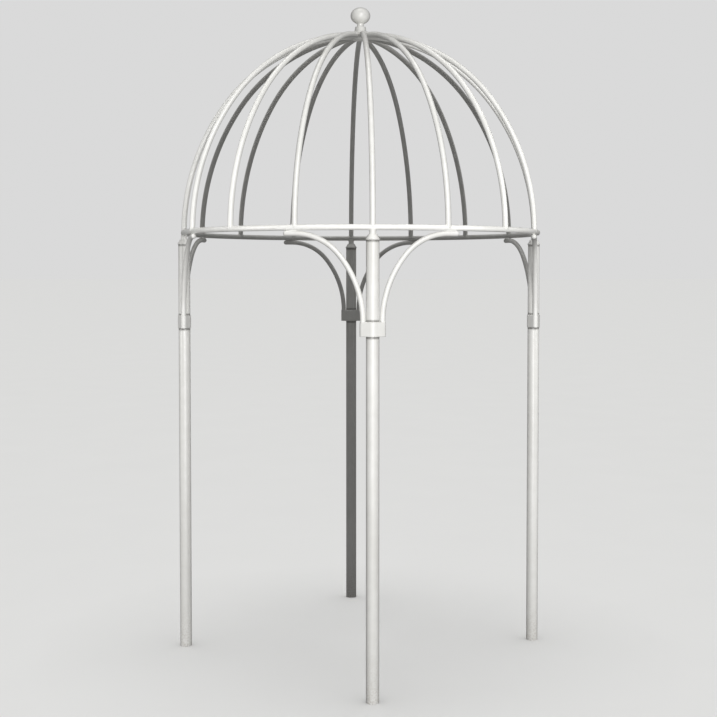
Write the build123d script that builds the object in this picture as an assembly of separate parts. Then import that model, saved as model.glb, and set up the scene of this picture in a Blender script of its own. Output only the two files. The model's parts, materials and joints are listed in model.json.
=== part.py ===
from build123d import *
import os
from math import acos, atan2, cos, degrees, hypot, radians, sin, tan

# Domed garden gazebo of welded steel tube, in millimetres.
# The origin is on the ground at the middle of the four posts, +Z is up, and the front doorway faces -Y.
# Every radius is worked out from the diameters that are named here.

# Plan
post_circle_radius = 915.0  # the ring's centre line, and the circle of the post axes
corners = ("front_left", "front_right", "back_right", "back_left")
first_corner_angle = -135.0
corner_spacing_angle = 360 / len(corners)
rib_count = 16

# Heights above the ground
ring_height = 2155.0  # centre of the ring tube
dome_rise = 1020.0  # from the ring's centre up to the rib's centre line at the crown

# Tubes
post_diameter = 60.3
post_wall = 2.9
ring_diameter = 26.9
rib_diameter = 26.9
arch_diameter = 25.0

# Two-arc bends: the angle at which the lower, larger arc hands over to the upper, smaller one
dome_turn_angle = 37.0
arch_turn_angle = 40.0
ball_turn_angle = 45.0

# Arch bars: how far round the ring each one meets it, and how high it rises
arch_reach_angle = 360 / rib_count
arch_rise = 400.0  # from the collar's top up to the bar's centre line under the ring
arch_lap = 40.0  # level run under the ring before the bar's rounded end

# Collar that holds the feet of two arch bars against a post
collar_height = 65.0
collar_wall = 3.5  # outside the post
collar_lip = 2.2  # outside each socket
collar_web = 1.2  # metal between the post's hole and each socket
collar_floor = 6.0  # metal under each socket
collar_edge = 2.5  # rounding of the outer edges

# Post cap: flange, cone and the neck that carries the ring
cap_seat = 2.0  # width of the seat on the post's rim, round a shallow hollow
cap_hollow_depth = 8.0
cap_flange_overhang = 3.0
cap_flange_height = 6.0
cap_edge = 1.5  # rounding of the flange
cap_cone_height = 18.0
cap_cone_top_diameter = 42.0
cap_neck_diameter = 31.0
cap_neck_height = 19.0  # from the cone's top up to the underside of the ring
cap_saddle_height = 6.0  # how far the neck reaches up round the ring

# Crown hub that the mitred rib ends meet
hub_diameter = 80.0
hub_height = 46.0
hub_rise = 25.0  # hub top above the rib's centre line
hub_dish = 9.0  # sag of the rounded underside
hub_edge = 4.0

# Finial: bell-shaped base with a neck, and a flattened ball
bell_foot_diameter = 60.0
bell_foot_height = 5.0
bell_top_diameter = 54.0
bell_height = 25.0
bell_edge = 3.0
finial_neck_diameter = 34.0
finial_neck_height = 16.0
ball_diameter = 102.0
ball_height = 87.0

# Fits
seat_gap = 0.3  # weld or slip gap between a piece and what carries it
mitre_gap = 0.4  # between neighbouring ribs at the crown
cut_overrun = 40.0  # how far a cutting shape runs past what it cuts

# Sizes that follow from the ones above
post_radius = post_diameter / 2
ring_radius = ring_diameter / 2
rib_radius = rib_diameter / 2
arch_radius = arch_diameter / 2
arch_offset = post_radius + seat_gap + collar_web + seat_gap + arch_radius
arch_crown = ring_height - ring_radius - seat_gap - arch_radius
collar_top = arch_crown - arch_rise
collar_bottom = collar_top - collar_height
cap_height = cap_flange_height + cap_cone_height + cap_neck_height
post_top = ring_height - ring_radius - cap_height
rib_circle_radius = post_circle_radius - ring_radius + rib_radius  # flush inside the ring
crown_height = ring_height + dome_rise
hub_top = crown_height + hub_rise
finial_neck_top = hub_top + bell_height + finial_neck_height


# Bends

def two_arc_radii(span, rise, turn):
    """Radii of the lower and upper arc of a bend that starts upright and ends level."""
    c, s = cos(radians(turn)), sin(radians(turn))
    spread = c + s - 1
    lower = (rise * c - span * (1 - s)) / spread
    upper = (span * s - rise * (1 - c)) / spread
    return lower, upper


def bent_bar(span, rise, turn, radius):
    """Round bar in the XZ plane, upright at (span, 0, 0) and level at (0, 0, rise)."""
    lower, upper = two_arc_radii(span, rise, turn)
    foot = Pos(span, 0, 0) * Circle(radius)
    crown = Plane.YZ * Pos(0, rise) * Circle(radius)
    low_axis = Axis((span - lower, 0, 0), (0, -1, 0))
    high_axis = Axis((0, 0, rise - upper), (0, 1, 0))
    return revolve(foot, low_axis, turn) + revolve(crown, high_axis, 90 - turn)


def ring_torus(radius):
    """The ring's full circle at a given tube radius."""
    return Pos(0, 0, ring_height) * Torus(post_circle_radius, radius)


def turned(outline):
    """Solid turned about the vertical axis from an outline in the XZ plane."""
    return revolve(Plane.XZ * outline, Axis.Z)


# Posts, standing on the +X axis before they are turned to their corners

def post():
    tube = Circle(post_radius) - Circle(post_radius - post_wall)
    return Pos(post_circle_radius, 0, 0) * extrude(tube, post_top)


def post_cap():
    """Flange, cone and neck, with a saddle on the neck that the ring lies in."""
    hollow_radius = post_radius - cap_seat
    flange_radius = post_radius + cap_flange_overhang
    cone_foot = cap_flange_height
    cone_top = cap_flange_height + cap_cone_height
    neck_top = cap_height + cap_saddle_height
    outline = Polyline(
        (0, cap_hollow_depth),
        (hollow_radius, 0),
        (flange_radius, 0),
        (flange_radius, cone_foot),
        (post_radius, cone_foot),
        (cap_cone_top_diameter / 2, cone_top),
        (cap_neck_diameter / 2, cone_top),
        (cap_neck_diameter / 2, neck_top),
        (0, neck_top),
        close=True,
    )
    face = make_face(outline)
    rim = face.vertices().sort_by(Axis.X)[-2:]
    face = fillet(rim, cap_edge)
    blank = Pos(post_circle_radius, 0, post_top) * turned(face)
    return blank - ring_torus(ring_radius + seat_gap)


def collar():
    """Cast collar round a post, with a blind socket on each side for an arch bar."""
    sides = (-arch_offset, arch_offset)
    rounds = [Circle(post_radius + collar_wall)]
    rounds += [Pos(0, side) * Circle(arch_radius + collar_lip) for side in sides]
    block = extrude(make_hull([edge for circle in rounds for edge in circle.edges()]), collar_height)
    levels = block.edges().group_by(Axis.Z)
    block = fillet(levels[0] + levels[-1], collar_edge)
    block -= extrude(Circle(post_radius + seat_gap), collar_height)
    for side in sides:
        socket = extrude(Circle(arch_radius + seat_gap), collar_height - collar_floor)
        block -= Pos(0, side, collar_floor) * socket
    return Pos(post_circle_radius, 0, collar_bottom) * block


def arch_bar(side):
    """Bar from a collar's socket up to the ring, on the side of the post that the sign gives."""
    start_x, start_y = post_circle_radius, side * arch_offset
    end_angle = radians(side * arch_reach_angle)
    end_x, end_y = post_circle_radius * cos(end_angle), post_circle_radius * sin(end_angle)
    span = hypot(start_x - end_x, start_y - end_y)
    heading = degrees(atan2(start_y - end_y, start_x - end_x))
    foot_depth = collar_height - collar_floor - seat_gap
    bar = bent_bar(span, arch_rise, arch_turn_angle, arch_radius)
    bar += Pos(span, 0, -foot_depth) * extrude(Circle(arch_radius), foot_depth)
    level_end = Plane((0, 0, arch_rise), x_dir=(0, 1, 0), z_dir=(-1, 0, 0))
    bar += extrude(level_end * Circle(arch_radius), arch_lap)
    bar += Pos(-arch_lap, 0, arch_rise) * Sphere(arch_radius)
    return Pos(end_x, end_y, collar_top) * Rot(0, 0, heading) * bar


# Dome

def ring_quarter():
    """Quarter of the ring tube, from a post on the +X axis round to the next one."""
    section = Plane.XZ * Pos(post_circle_radius, ring_height) * Circle(ring_radius)
    return revolve(section, Axis.Z, corner_spacing_angle)


def dome_rib():
    """Rib over the +X axis, coped to the ring and mitred against its neighbours at the hub."""
    half_angle = radians(180 / rib_count)
    apex = mitre_gap / 2 / sin(half_angle)
    reach = post_circle_radius + ring_diameter
    half_width = (reach - apex) * tan(half_angle)
    wedge = make_face(Polyline((apex, 0), (reach, half_width), (reach, -half_width), close=True))
    bar = bent_bar(rib_circle_radius, dome_rise, dome_turn_angle, rib_radius)
    bar &= extrude(wedge, dome_rise + rib_diameter)
    bar = Pos(0, 0, ring_height) * bar
    hub_core = Pos(0, 0, crown_height) * Cylinder(hub_diameter / 2 + seat_gap, rib_diameter + cut_overrun)
    return bar - ring_torus(ring_radius + seat_gap) - hub_core


def crown_hub():
    """Round boss with a dished underside."""
    radius = hub_diameter / 2
    rim_foot = hub_dish - hub_height
    side = Polyline((0, -hub_height), (0, 0), (radius, 0), (radius, rim_foot))
    dish_radius = (radius ** 2 + hub_dish ** 2) / (2 * hub_dish)
    dish = RadiusArc((radius, rim_foot), (0, -hub_height), dish_radius)
    face = make_face(side.edges() + dish.edges())
    rim = face.vertices().group_by(Axis.Y)[-1].sort_by(Axis.X)[-1]
    return Pos(0, 0, hub_top) * turned(fillet(rim, hub_edge))


# Finial

def finial_base():
    """Bell on the hub with a plain neck above it."""
    neck_radius = finial_neck_diameter / 2
    neck_top = bell_height + finial_neck_height
    outline = Polyline(
        (0, 0),
        (bell_foot_diameter / 2, 0),
        (bell_foot_diameter / 2, bell_foot_height),
        (bell_top_diameter / 2, bell_height),
        (neck_radius, bell_height),
        (neck_radius, neck_top),
        (0, neck_top),
        close=True,
    )
    face = make_face(outline)
    shoulder = face.vertices().group_by(Axis.Y)[-2]
    return Pos(0, 0, hub_top) * turned(fillet(shoulder, bell_edge))


def finial_ball():
    """Flattened ball of tangent arcs, cut flat underneath where it seats on the neck."""
    half_width, half_height = ball_diameter / 2, ball_height / 2
    belt, pole = two_arc_radii(half_width, half_height, ball_turn_angle)
    seat_radius = finial_neck_diameter / 2
    seat_angle = degrees(acos(seat_radius / pole))
    seat_y = pole - half_height - pole * sin(radians(seat_angle))
    arcs = CenterArc((0, half_height - pole), pole, ball_turn_angle, 90 - ball_turn_angle).edges()
    arcs += CenterArc((half_width - belt, 0), belt, -ball_turn_angle, 2 * ball_turn_angle).edges()
    arcs += CenterArc((0, pole - half_height), pole, -seat_angle, seat_angle - ball_turn_angle).edges()
    inside = Polyline((0, half_height), (0, seat_y), (seat_radius, seat_y))
    outline = make_face(arcs + inside.edges())
    return Pos(0, 0, finial_neck_top - seat_y) * turned(outline)


# Assembly: node name to solid

def at_angle(shape, angle):
    return Rot(0, 0, angle) * shape


def assembly():
    nodes = {}
    corner_angles = [first_corner_angle + place * corner_spacing_angle for place in range(len(corners))]
    for corner, angle in zip(corners, corner_angles):
        nodes[corner + "_post"] = at_angle(post(), angle)
        nodes[corner + "_post_cap"] = at_angle(post_cap(), angle)
        nodes[corner + "_collar"] = at_angle(collar(), angle)
    doorways = {"front": ("left", "right"), "right": ("front", "back"),
                "back": ("right", "left"), "left": ("back", "front")}
    for doorway, angle in zip(doorways, corner_angles):
        first, second = doorways[doorway]
        nodes[f"{doorway}_arch_{first}"] = at_angle(arch_bar(1), angle)
        nodes[f"{doorway}_arch_{second}"] = at_angle(arch_bar(-1), angle + corner_spacing_angle)
        nodes[f"ring_{doorway}"] = at_angle(ring_quarter(), angle)
    rib = dome_rib()
    for number in range(rib_count):
        nodes[f"dome_rib_{number + 1:02d}"] = at_angle(rib, number * 360 / rib_count)
    nodes["crown_hub"] = crown_hub()
    nodes["finial_base"] = finial_base()
    nodes["finial_ball"] = finial_ball()
    return nodes


def main():
    os.makedirs("parts", exist_ok=True)
    for name, shape in assembly().items():
        export_step(shape, f"parts/{name}.step")


main()
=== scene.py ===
import json
import math

import bmesh
import bpy
from mathutils import Matrix, Vector

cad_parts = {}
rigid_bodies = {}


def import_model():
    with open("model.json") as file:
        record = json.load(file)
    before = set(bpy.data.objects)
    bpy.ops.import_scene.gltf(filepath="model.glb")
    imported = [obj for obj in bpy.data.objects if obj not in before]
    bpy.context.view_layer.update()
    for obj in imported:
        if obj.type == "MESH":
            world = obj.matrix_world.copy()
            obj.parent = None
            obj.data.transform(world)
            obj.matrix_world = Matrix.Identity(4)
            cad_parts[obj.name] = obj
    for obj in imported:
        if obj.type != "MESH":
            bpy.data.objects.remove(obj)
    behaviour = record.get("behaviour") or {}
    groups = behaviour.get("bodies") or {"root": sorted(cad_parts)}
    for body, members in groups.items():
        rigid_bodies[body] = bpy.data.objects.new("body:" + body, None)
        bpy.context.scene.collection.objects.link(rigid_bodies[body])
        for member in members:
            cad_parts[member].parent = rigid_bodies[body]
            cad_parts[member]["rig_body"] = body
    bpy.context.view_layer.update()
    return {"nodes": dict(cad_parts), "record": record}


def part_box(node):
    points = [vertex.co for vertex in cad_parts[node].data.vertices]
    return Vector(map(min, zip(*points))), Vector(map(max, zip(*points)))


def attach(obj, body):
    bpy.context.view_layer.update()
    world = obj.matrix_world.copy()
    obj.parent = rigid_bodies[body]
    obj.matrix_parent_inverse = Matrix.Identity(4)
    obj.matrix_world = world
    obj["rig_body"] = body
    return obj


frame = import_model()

scene = bpy.context.scene
print("frame loaded,", len(frame["nodes"]), "nodes")

# degrees round from +X
cornerAngles = dict(back_right=45, back_left=135, front_left=225, front_right=315)
doorwayAngles = dict(right=0, back=90, left=180, front=270)


# sizes in metres, read from the frame

def sizeOf(node):
    low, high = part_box(node)
    return high - low


def middleOf(node):
    low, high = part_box(node)
    return (low + high) / 2


def topOf(node):
    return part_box(node)[1].z


def footOf(node):
    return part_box(node)[0].z


postRadius = sizeOf("front_right_post").x / 2
postTop = topOf("front_right_post")
ringRadius = sizeOf("ring_front").z / 2                    # of the tube
ringHeight = middleOf("ring_front").z
postCircle = middleOf("front_right_post").xy.length        # also the ring's centre line
ribRadius = sizeOf("dome_rib_01").y / 2
ribCircle = postCircle - ringRadius + ribRadius            # ribs stand flush inside the ring
ribCount = sum(name.startswith("dome_rib") for name in frame["nodes"])
crownHeight = topOf("dome_rib_01") - ribRadius
hubRadius = sizeOf("crown_hub").x / 2
hubTop = topOf("crown_hub")
bellRadius = sizeOf("finial_base").x / 2
ballFoot = footOf("finial_ball")
collarTop = topOf("front_right_collar")
collarFoot = footOf("front_right_collar")
saddleTop = topOf("front_right_post_cap")

# sizes of the part that no node's box gives
flangeHeight = 0.006                                       # of a post cap, round its foot
neckRadius = 0.0155                                        # of a post cap, under the ring
ballNeckRadius = 0.017                                     # of the finial, under the ball
barRadius = 0.0125                                         # of an arch bar
barOffset = 0.04445                                        # arch bar from the post's middle, at the collar


# places

def turnAbout(angle):
    return Matrix.Rotation(math.radians(angle), 4, "Z")


def shift(x, y, z):
    return Matrix.Translation((x, y, z))


# camera

shot = dict(
    turn=41.63,          # degrees round from the front doorway to where the viewer stands
    stand=6.409,         # viewer to the middle of the gazebo
    sideStep=-0.010,
    eye=1.950,
    pitch=-2.11,
    focalPixels=1225,
    framePixels=717,
    axisRise=40.5,       # the lens axis meets the picture this many pixels above its middle
    sensor=36,
)


def placeCamera(s):
    data = bpy.data.cameras.new("viewer")
    data.sensor_width = s["sensor"]
    data.lens = s["sensor"] * s["focalPixels"] / s["framePixels"]
    data.shift_y = -s["axisRise"] / s["framePixels"]
    viewer = bpy.data.objects.new("viewer", data)
    scene.collection.objects.link(viewer)
    tilt = Matrix.Rotation(math.radians(90 + s["pitch"]), 4, "X")
    viewer.matrix_world = turnAbout(s["turn"]) @ shift(s["sideStep"], -s["stand"], s["eye"]) @ tilt
    scene.camera = viewer


placeCamera(shot)
print("camera placed")


# shader maths

class Val:
    def __init__(self, paint, socket):
        self.paint = paint
        self.socket = socket

    def maths(self, operation, *values):
        return self.paint.node("ShaderNodeMath", {"operation": operation}, dict(enumerate(values)))

    def __add__(self, other):
        return self.maths("ADD", self, other)

    def __sub__(self, other):
        return self.maths("SUBTRACT", self, other)

    def __rsub__(self, other):
        return self.maths("SUBTRACT", other, self)

    def __mul__(self, other):
        return self.maths("MULTIPLY", self, other)

    def __truediv__(self, other):
        return self.maths("DIVIDE", self, other)

    def __rtruediv__(self, other):
        return self.maths("DIVIDE", other, self)

    def __pow__(self, other):
        return self.maths("POWER", self, other)

    def __rpow__(self, other):
        return self.maths("POWER", other, self)

    def __abs__(self):
        return self.maths("ABSOLUTE", self)

    __radd__ = __add__
    __rmul__ = __mul__


class Paint:
    def __init__(self, name):
        self.material = bpy.data.materials.new(name)
        self.material.use_nodes = True
        self.tree = self.material.node_tree
        self.shader = self.tree.nodes["Principled BSDF"]

    def node(self, kind, settings=None, inputs=None, out=0):
        made = self.tree.nodes.new(kind)
        for name, value in (settings or {}).items():
            if name == "stops":
                for stop, (place, tone) in zip(made.color_ramp.elements, value):
                    stop.position = place
                    stop.color = (tone, tone, tone, 1)
            else:
                setattr(made, name, value)
        for name, value in (inputs or {}).items():
            self.feed(made.inputs[name], value)
        return Val(self, made.outputs[out])

    def feed(self, socket, value):
        if isinstance(value, Val):
            self.tree.links.new(value.socket, socket)
        else:
            socket.default_value = value

    def finish(self, **values):
        for name, value in values.items():
            self.feed(self.shader.inputs[name.replace("_", " ")], value)
        return self.material

    def place(self):
        return self.node("ShaderNodeTexCoord", out="Object")

    def stretch(self, place, scale):
        return self.node("ShaderNodeMapping", {}, {"Vector": place, "Scale": scale})

    def noise(self, place, scale, detail=3, rough=0.5):
        return self.node("ShaderNodeTexNoise", {}, {
            "Vector": place, "Scale": scale, "Detail": detail, "Roughness": rough})

    def ramp(self, value, low=0.0, high=1.0):
        return self.node("ShaderNodeValToRGB", {"stops": ((low, 0), (high, 1))}, {"Fac": value})

    def axis(self, vector, name):
        return self.node("ShaderNodeSeparateXYZ", {}, {0: vector}, name)

    def blend(self, share, first, second):                 # 6 and 7 are the node's colour inputs
        return self.node("ShaderNodeMix", {"data_type": "RGBA"}, {0: share, 6: first, 7: second}, 2)


# the coat: white powder paint with orange peel, dust on what faces up, stains at the fittings and dark
# lines where they meet a post (part dirt, part painted shade), chips along cast edges and splash at the
# feet

coatLook = dict(
    white=(0.83, 0.825, 0.80, 1),
    shade=(0.74, 0.735, 0.705, 1),
    broadScale=2.6,
    broadShare=0.6,
    mottleScale=22,
    patchSpan=(0.35, 0.65),          # a span is where a noise starts to show and where it is full
    runs=0.10,
    runTone=(0.50, 0.48, 0.43, 1),
    runStretch=(70, 70, 2.5),
    runSpan=(0.5, 0.78),
    dust=0.28,
    dustTone=(0.55, 0.53, 0.47, 1),
    dustFacing=(0.3, 0.95),          # 1 faces straight up
    dustSpan=(0.3, 0.7),
    splash=0.0,
    splashHeight=0.30,
    splashFade=1.6,
    splashTone=(0.36, 0.31, 0.24, 1),
    speckScale=120,
    speckSpan=(0.42, 0.66),
    ledges=(),                       # heights that stains run down from
    stain=0.30,
    stainLength=0.30,
    stainSpan=(0.42, 0.70),
    seats=(),                        # heights of dark lines, part dirt and part painted shade, with 1 for above and -1 for below
    # near-black lines of dirt and painted shade at the fittings
    dirtAndShade=0.9,
    dirtAndShadeHeight=0.014,
    dirtAndShadeFade=0.55,
    dirtAndShadeEven=0.7,
    dirtAndShadeTone=(0.10, 0.095, 0.085, 1),
    lip=0.02,                        # share of a stain or a dark line in which it sets in
    edges=(),                        # heights of edges that chip
    edgeWidth=0.004,
    scuffs=0.0,
    scuffHeight=0.05,
    chips=0.16,
    chipScale=260,
    chipSpan=(0.74, 0.76),
    primer=(0.36, 0.355, 0.34, 1),
    rough=0.34,
    dustRough=0.3,
    splashRough=0.4,
    chipRough=0.2,
    mottleRough=0.12,
    gloss=0.35,
    glossRough=0.24,
    peel=0.20,
    peelDepth=0.0005,
    peelScale=520,
    peelShare=0.7,
    grain=0.3,
    grainScale=1600,
)
postLook = dict(
    coatLook,
    splash=0.45,
    runs=0.14,
    scuffs=1.0,
    ledges=(postTop, collarFoot),
    # dirt and painted shade lines over and under the collar and under the cap
    seats=((collarTop, 1), (collarFoot, -1), (postTop, -1)),
)
castLook = dict(                     # cast pieces keep a little sand grain
    coatLook,
    peel=0.4,
    peelDepth=0.0008,
    peelScale=330,
    rough=0.40,
    edges=(collarTop, collarFoot, postTop, postTop + flangeHeight),
)


def whiteCoat(name, look):
    paint = Paint(name)
    place = paint.place()
    height = paint.axis(place, "Z")
    facing = paint.axis(paint.node("ShaderNodeNewGeometry", out="Normal"), "Z")

    broad = paint.noise(place, look["broadScale"])
    mottle = paint.noise(place, look["mottleScale"], detail=4)
    patches = broad * look["broadShare"] + mottle * (1 - look["broadShare"])
    tone = paint.blend(paint.ramp(patches, *look["patchSpan"]), look["white"], look["shade"])
    runs = paint.noise(paint.stretch(place, look["runStretch"]), 1, detail=4)
    tone = paint.blend(paint.ramp(runs, *look["runSpan"]) * look["runs"], tone, look["runTone"])
    dust = paint.ramp(facing, *look["dustFacing"]) * paint.ramp(mottle, *look["dustSpan"]) * look["dust"]
    tone = paint.blend(dust, tone, look["dustTone"])

    speck = paint.ramp(paint.noise(place, look["speckScale"], detail=5, rough=0.65), *look["speckSpan"])
    splash = paint.ramp(1 - height / look["splashHeight"]) ** look["splashFade"] * speck * look["splash"]
    tone = paint.blend(splash, tone, look["splashTone"])
    for ledge in look["ledges"]:                           # rain brings dirt down from under a fitting
        below = (ledge - height) / look["stainLength"]
        stain = paint.ramp(below, 0.0, look["lip"]) * paint.ramp(1 - below)
        stain = stain * paint.ramp(runs, *look["stainSpan"]) * look["stain"]
        tone = paint.blend(stain, tone, look["runTone"])
    for seat, way in look["seats"]:                        # dark lines where a post meets its fittings: part dirt, part painted shade for the shadow over and under a fitting
        away = (height - seat) * (way / look["dirtAndShadeHeight"])
        dirtAndShade = paint.ramp(away, 0.0, look["lip"]) * paint.ramp(1 - away, 0.0, look["dirtAndShadeFade"])
        dirtAndShade = dirtAndShade * (look["dirtAndShadeEven"] + speck * (1 - look["dirtAndShadeEven"])) * look["dirtAndShade"]
        tone = paint.blend(dirtAndShade, tone, look["dirtAndShadeTone"])

    worn = paint.ramp(1 - height / look["scuffHeight"]) * look["scuffs"]
    for edge in look["edges"]:
        worn = worn + paint.ramp(1 - abs(height - edge) / look["edgeWidth"])
    flakes = paint.noise(place, look["chipScale"], detail=4, rough=0.6)
    chips = paint.ramp(flakes + worn * look["chips"], *look["chipSpan"])
    tone = paint.blend(chips, tone, look["primer"])

    rough = look["rough"] + dust * look["dustRough"] + splash * look["splashRough"]
    rough = rough + chips * look["chipRough"] + (mottle - 0.5) * look["mottleRough"]
    peel = paint.noise(place, look["peelScale"], detail=2)
    grain = paint.noise(place, look["grainScale"])
    bump = paint.node("ShaderNodeBump", {}, {
        "Strength": look["peel"], "Distance": look["peelDepth"],
        "Height": peel * look["peelShare"] + grain * look["grain"] - chips})
    return paint.finish(Base_Color=tone, Roughness=rough, Normal=bump,
                        Coat_Weight=look["gloss"], Coat_Roughness=look["glossRough"])


coats = dict(
    post_coat=whiteCoat("post_white_coat", postLook),
    dome_coat=whiteCoat("dome_white_coat", coatLook),
    fitting_coat=whiteCoat("casting_white_coat", castLook),
)


def dressFrame():
    for part in frame["record"]["subparts"]:
        mesh = frame["nodes"][part["node"]].data
        mesh.materials.clear()
        mesh.materials.append(coats[part["material_slot"]])


dressFrame()
print("coats mixed")


# turning a bmesh into a piece of the gazebo

mergeDistance = 1e-6


def makePiece(name, bm, slot):
    bmesh.ops.remove_doubles(bm, verts=bm.verts, dist=mergeDistance)
    bmesh.ops.recalc_face_normals(bm, faces=bm.faces)
    mesh = bpy.data.meshes.new(name)
    bm.to_mesh(mesh)
    bm.free()
    for face in mesh.polygons:
        face.use_smooth = True
    mesh.materials.append(coats[slot])
    piece = bpy.data.objects.new(name, mesh)
    scene.collection.objects.link(piece)
    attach(piece, "root")


# weld beads: a small circle spun into a loop, rippled along its run and laid on its seam
# a weld's size is its bead's radius, steps are cuts round the loop, and pitch is a ripple's length

bead = dict(sides=10, ripple=0.09)


def addBead(bm, loopRadius, w, place, lay=None):
    loop = bmesh.new()
    bmesh.ops.create_circle(loop, segments=bead["sides"], radius=w["size"])
    bmesh.ops.rotate(loop, verts=loop.verts, cent=(0, 0, 0), matrix=Matrix.Rotation(math.pi / 2, 3, "X"))
    bmesh.ops.translate(loop, verts=loop.verts, vec=(loopRadius, 0, 0))
    bmesh.ops.spin(loop, geom=loop.edges[:] + loop.verts[:], cent=(0, 0, 0), axis=(0, 0, 1),
                   angle=2 * math.pi, steps=w["steps"], use_merge=True)
    ripples = round(2 * math.pi * loopRadius / w["pitch"])
    for vert in loop.verts:
        around = math.atan2(vert.co.y, vert.co.x)
        heart = Vector((loopRadius * math.cos(around), loopRadius * math.sin(around), 0))
        swell = 1 + bead["ripple"] * math.sin(around * ripples)
        laid = lay(heart, around) if lay else heart
        vert.co = laid + (vert.co - heart) * swell
    bmesh.ops.transform(loop, verts=loop.verts, matrix=place)
    mesh = bpy.data.meshes.new("bead")
    loop.to_mesh(mesh)
    loop.free()
    bm.from_mesh(mesh)
    bpy.data.meshes.remove(mesh)


ribWeld = dict(size=0.0026, steps=96, pitch=0.0032,
               reach=0.985)          # how far out on the ring's tube a bead may lie, 1 is its side


def weldRibs(w):
    reach = w["reach"] * ringRadius

    def saddle(heart, around):
        off = max(-reach, min(ribCircle + heart.x - postCircle, reach))
        return Vector((heart.x, heart.y, math.sqrt(ringRadius ** 2 - off ** 2)))

    step = 360 / ribCount
    half = ribCount // len(doorwayAngles) // 2
    for doorway, middle in doorwayAngles.items():
        bm = bmesh.new()
        for number in range(-half, half):                  # starts over the post
            place = turnAbout(middle + number * step) @ shift(ribCircle, 0, ringHeight)
            addBead(bm, ribRadius, w, place, saddle)
        makePiece(doorway + "_rib_welds", bm, "dome_coat")


hubWeld = dict(size=0.0028, steps=384, pitch=0.0034)


def weldHub(w):
    step = 2 * math.pi / ribCount

    def scallop(side):
        def lay(heart, around):
            off = hubRadius * math.sin((around + step / 2) % step - step / 2)
            return heart + Vector((0, 0, side * math.sqrt(ribRadius ** 2 - off ** 2)))
        return lay

    bm = bmesh.new()
    for side in (1, -1):
        addBead(bm, hubRadius, w, shift(0, 0, crownHeight), scallop(side))
    makePiece("hub_welds", bm, "dome_coat")


archWeld = dict(size=0.0022, steps=128, pitch=0.0030, loop=0.016, halfWidth=0.007, halfLength=0.026,
                sink=0.0002,
                reach=22.5,          # degrees round the ring from the post
                ahead=0.014,         # the middle of the weld, past where the bar comes level
                skew=4.9)            # half the angle between the bar and the ring where they cross


def weldArches(w):
    wide, long = w["halfWidth"] / w["loop"], w["halfLength"] / w["loop"]

    def oval(heart, around):
        return Vector((heart.x * wide, heart.y * long, -w["sink"]))

    for corner, angle in cornerAngles.items():
        bm = bmesh.new()
        for side in (1, -1):
            place = turnAbout(angle + side * w["reach"]) @ shift(postCircle, 0, ringHeight - ringRadius)
            place = place @ turnAbout(-side * w["skew"]) @ shift(0, side * w["ahead"], 0)
            addBead(bm, w["loop"], w, place, oval)
        makePiece(corner + "_arch_welds", bm, "dome_coat")


neckWeld = dict(size=0.0026, steps=96, pitch=0.0032)
collarSeam = dict(size=0.0016, steps=128, pitch=0.0030, proud=0.0007)
capSeam = dict(size=0.0014, steps=128, pitch=0.0026, proud=0.0006)


def weldCorners(neck, collar, cap):
    drop = ringHeight - saddleTop
    flank = math.sqrt(ringRadius ** 2 - drop ** 2)         # where the ring leaves the saddle

    def saddle(heart, around):
        off = max(-flank, min(heart.x, flank))
        return Vector((off, heart.y, -math.sqrt(ringRadius ** 2 - off ** 2)))

    for corner, angle in cornerAngles.items():
        bm = bmesh.new()
        post = turnAbout(angle) @ shift(postCircle, 0, 0)
        addBead(bm, neckRadius, neck, post @ shift(0, 0, ringHeight), saddle)
        addBead(bm, postRadius + cap["proud"], cap, post @ shift(0, 0, postTop))
        for height in (collarTop, collarFoot):
            addBead(bm, postRadius + collar["proud"], collar, post @ shift(0, 0, height))
        for side in (1, -1):
            addBead(bm, barRadius + collar["proud"], collar, post @ shift(0, side * barOffset, collarTop))
        makePiece(corner + "_seams", bm, "fitting_coat")


finialSeam = dict(size=0.0016, steps=128, pitch=0.0030, proud=0.0006)


def seamFinial(w):
    bm = bmesh.new()
    addBead(bm, bellRadius + w["proud"], w, shift(0, 0, hubTop))
    addBead(bm, ballNeckRadius + w["proud"], w, shift(0, 0, ballFoot))
    makePiece("finial_seams", bm, "fitting_coat")


weldRibs(ribWeld)
weldHub(hubWeld)
weldArches(archWeld)
weldCorners(neckWeld, collarSeam, capSeam)
seamFinial(finialSeam)
print("welds run")


# floor

floorLook = dict(radius=400, segments=128, tone=(0.75, 0.75, 0.74, 1), rough=0.8,
                 cloudScale=1.5, cloudShade=0.97,
                 bounce=0.16)        # share of its tone that lights the gazebo, for less glare from below


def layFloor(f):
    bm = bmesh.new()
    bmesh.ops.create_circle(bm, cap_ends=True, segments=f["segments"], radius=f["radius"])
    mesh = bpy.data.meshes.new("floor")
    bm.to_mesh(mesh)
    bm.free()

    def dimmed(share):
        return [channel * share for channel in f["tone"][:3]] + [1]

    paint = Paint("floor_paint")
    clouds = paint.noise(paint.place(), f["cloudScale"])
    tone = paint.blend(clouds, f["tone"], dimmed(f["cloudShade"]))
    seen = paint.node("ShaderNodeLightPath", out="Is Camera Ray")
    tone = paint.blend(seen, dimmed(f["bounce"]), tone)
    mesh.materials.append(paint.finish(Base_Color=tone, Roughness=f["rough"]))
    floor = bpy.data.objects.new("floor", mesh)
    scene.collection.objects.link(floor)
    return floor


# light: the near half from the viewer's side, the far half from behind, the flanks from both sides

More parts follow.
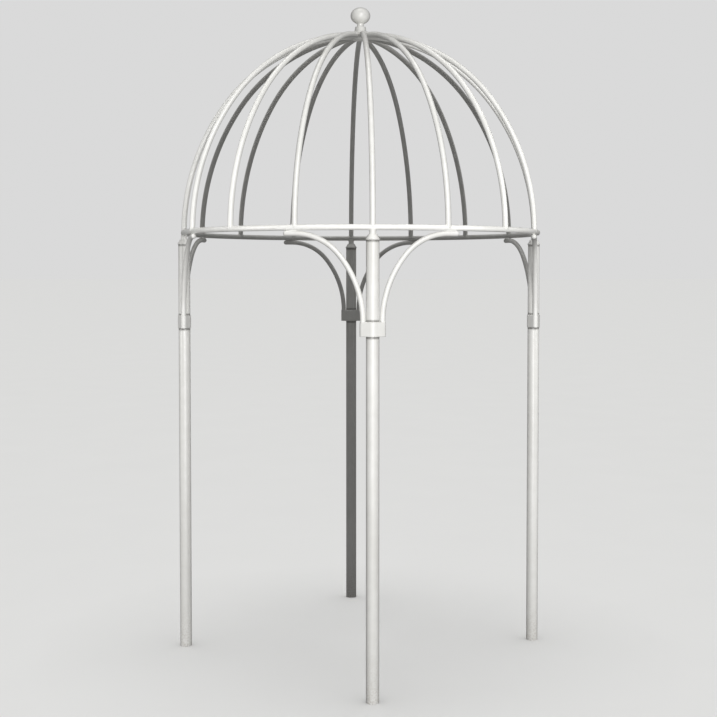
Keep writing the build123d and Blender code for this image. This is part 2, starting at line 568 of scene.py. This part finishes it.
studio = dict(
    ambient=0.15,
    backdrop=0.70,
    overhead=dict(floor=2.68, gazebo=1.0),
    overheadSpread=40,
    overlap=0.10,                    # pieces this near the middle are in both halves
    flankShare=0.62,                 # how far to the side a flank piece stands, 1 is straight aside
    flankMargin=0.02,
    boxes=dict(                      # turn is from the viewer's own side, aim the height that a box faces
        key=dict(turn=12, out=5.0, up=4.4, aim=2.4, size=(1.8, 1.4), power=105),
        rightStrip=dict(turn=9, out=5.5, up=1.7, aim=1.7, size=(0.6, 3.4), power=104),
        leftStrip=dict(turn=-9, out=5.5, up=1.7, aim=1.7, size=(0.6, 3.4), power=52),
    ),
    flanks=dict(
        near=dict(turn=62, out=5.5, up=2.6, aim=1.9, size=(1.4, 3.0), power=80),
        far=dict(turn=122, out=5.5, up=2.6, aim=1.9, size=(1.4, 3.0), power=95),
    ),
)


def gazeboPieces():
    return [thing for thing in scene.objects if thing.type == "MESH" and "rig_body" in thing]


def gather(name, wanted):
    group = bpy.data.collections.new(name)
    square = turnAbout(-shot["turn"])                      # as the viewer sees it: x is aside, -y is toward
    for piece in gazeboPieces():
        spots = [Vector(spot) for spot in piece.bound_box]
        middle = square @ (sum(spots, Vector()) / len(spots))
        if wanted(middle.x, -middle.y):
            group.objects.link(piece)
    return group


def softbox(name, turn, out, up, aim, size, power, lit):
    data = bpy.data.lights.new(name, "AREA")
    data.shape = "RECTANGLE"
    data.size, data.size_y = size
    data.energy = power
    data.cycles.use_multiple_importance_sampling = False   # or a linked lamp counts twice on some pieces
    lamp = bpy.data.objects.new(name, data)
    scene.collection.objects.link(lamp)
    lamp.location = turnAbout(shot["turn"] + turn) @ Vector((0, -out, up))
    lamp.rotation_euler = (Vector((0, 0, aim)) - lamp.location).to_track_quat("-Z", "Y").to_euler()
    lamp.light_linking.receiver_collection = lit           # the floor keeps its even light
    lamp.visible_camera = False
    lamp.visible_glossy = abs(turn) < 90                   # none behind shows as a glint


def lightHalves(s):
    near = gather("near_half", lambda aside, toward: toward > -s["overlap"])
    far = gather("far_half", lambda aside, toward: toward < s["overlap"])
    for behind, lit in ((0, near), (180, far)):            # the same boxes again behind, for the far half
        for name, box in s["boxes"].items():
            softbox(name, **dict(box, turn=box["turn"] + behind), lit=lit)


def lightFlank(s, side, depth):
    def wanted(aside, toward):
        if (toward > -s["overlap"]) != (depth == "near"):
            return False
        return side * aside > s["flankShare"] * math.hypot(aside, toward) + s["flankMargin"]

    name, box = depth + "_flank", s["flanks"][depth]
    softbox(name, **dict(box, turn=box["turn"] * side), lit=gather(name, wanted))


def lightFromAbove(s, name, things):
    sky = bpy.data.lights.new("overhead_" + name, "SUN")
    sky.energy = s["overhead"][name]
    sky.angle = math.radians(s["overheadSpread"])
    lamp = bpy.data.objects.new(sky.name, sky)
    scene.collection.objects.link(lamp)
    lit = bpy.data.collections.new(name)
    for thing in things:
        lit.objects.link(thing)
    lamp.light_linking.receiver_collection = lit


def hangBackdrop(s):
    world = bpy.data.worlds.new("studio")
    world.use_nodes = True
    scene.world = world
    tree = world.node_tree
    ambient = tree.nodes["Background"]
    backdrop = tree.nodes.new("ShaderNodeBackground")
    for shade, strength in ((ambient, s["ambient"]), (backdrop, s["backdrop"])):
        shade.inputs["Color"].default_value = (1, 1, 1, 1)
        shade.inputs["Strength"].default_value = strength
    path = tree.nodes.new("ShaderNodeLightPath")
    mix = tree.nodes.new("ShaderNodeMixShader")
    tree.links.new(path.outputs["Is Camera Ray"], mix.inputs[0])
    tree.links.new(ambient.outputs[0], mix.inputs[1])
    tree.links.new(backdrop.outputs[0], mix.inputs[2])
    tree.links.new(mix.outputs[0], tree.nodes["World Output"].inputs["Surface"])


def lightStudio(s, floor):
    lightHalves(s)
    for side in (1, -1):
        for depth in s["flanks"]:
            lightFlank(s, side, depth)
    lightFromAbove(s, "floor", [floor])
    lightFromAbove(s, "gazebo", gazeboPieces())
    hangBackdrop(s)
    scene.view_settings.view_transform = "Standard"


lightStudio(studio, layFloor(floorLook))
print("studio lit")
